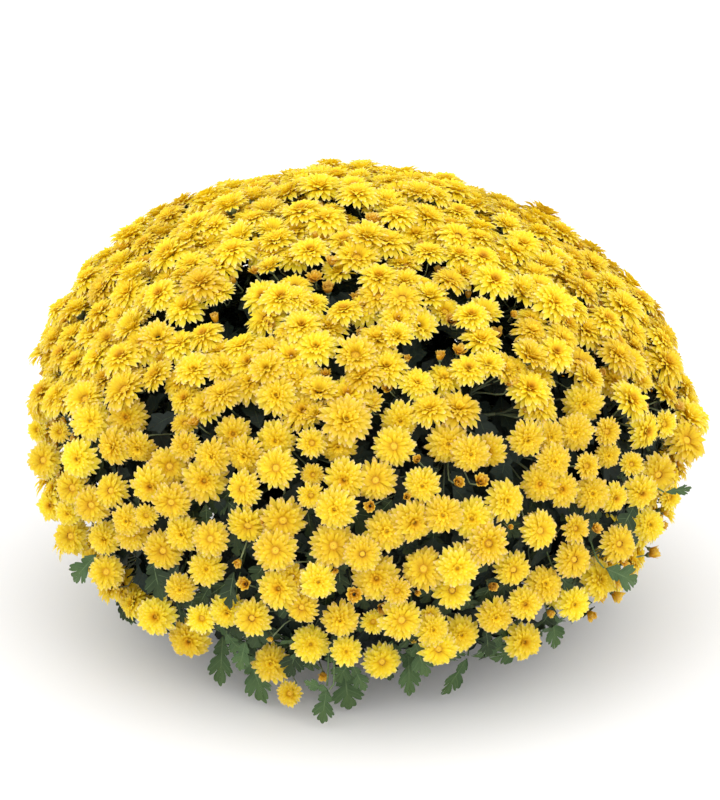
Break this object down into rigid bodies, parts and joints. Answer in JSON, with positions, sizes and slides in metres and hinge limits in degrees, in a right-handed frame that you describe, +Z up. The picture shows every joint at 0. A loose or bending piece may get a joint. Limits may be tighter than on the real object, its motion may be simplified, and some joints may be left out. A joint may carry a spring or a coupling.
{
  "type": "pot chrysanthemum",
  "caption": "Potted garden chrysanthemum: a broad mound of yellow semi-double flowers over lobed dark green leaves, spreading past a plain round pot.",
  "frame": {"origin": "centre of the pot's flat underside", "axes": "+Z up along the pot's axis; -Y is the front, the side that the picture shows, and +X is to the right seen from there"},
  "size_m": [0.6752, 0.6763, 0.463],
  "materials": {
    "pot_plastic": "satin",
    "potting_mix": "matte",
    "bark": "matte",
    "stem_green": "satin",
    "petals": "matte",
    "leaf_green": "satin"
  },
  "bodies": {
    "root": {"pot": "pot_plastic", "potting_mix": "potting_mix", "crown": "bark", "stem_01": "stem_green", "stem_02": "stem_green", "stem_03": "stem_green", "stem_04": "stem_green", "stem_05": "stem_green", "stem_06": "stem_green", "stem_07": "stem_green", "stem_08": "stem_green", "stem_09": "stem_green", "stem_10": "stem_green", "stem_11": "stem_green", "stem_12": "stem_green", "stem_13": "stem_green", "stem_14": "stem_green", "stem_15": "stem_green", "stem_16": "stem_green", "stem_17": "stem_green", "stem_18": "stem_green", "stem_19": "stem_green", "stem_20": "stem_green", "stem_21": "stem_green", "stem_22": "stem_green", "spray_01": "petals", "spray_02": "petals", "spray_03": "petals", "spray_04": "petals", "spray_05": "petals", "spray_06": "petals", "spray_07": "petals", "spray_08": "petals", "spray_09": "petals", "spray_10": "petals", "spray_11": "petals", "spray_12": "petals", "spray_13": "petals", "spray_14": "petals", "spray_15": "petals", "spray_16": "petals", "spray_17": "petals", "spray_18": "petals", "spray_19": "petals", "spray_20": "petals", "spray_21": "petals", "spray_22": "petals", "skirt_leaf_01": "leaf_green", "skirt_leaf_02": "leaf_green", "skirt_leaf_03": "leaf_green", "skirt_leaf_04": "leaf_green", "skirt_leaf_05": "leaf_green", "skirt_leaf_06": "leaf_green", "skirt_leaf_07": "leaf_green", "skirt_leaf_08": "leaf_green", "skirt_leaf_09": "leaf_green", "skirt_leaf_10": "leaf_green", "skirt_leaf_11": "leaf_green", "skirt_leaf_12": "leaf_green"}
  },
  "joints": []
}
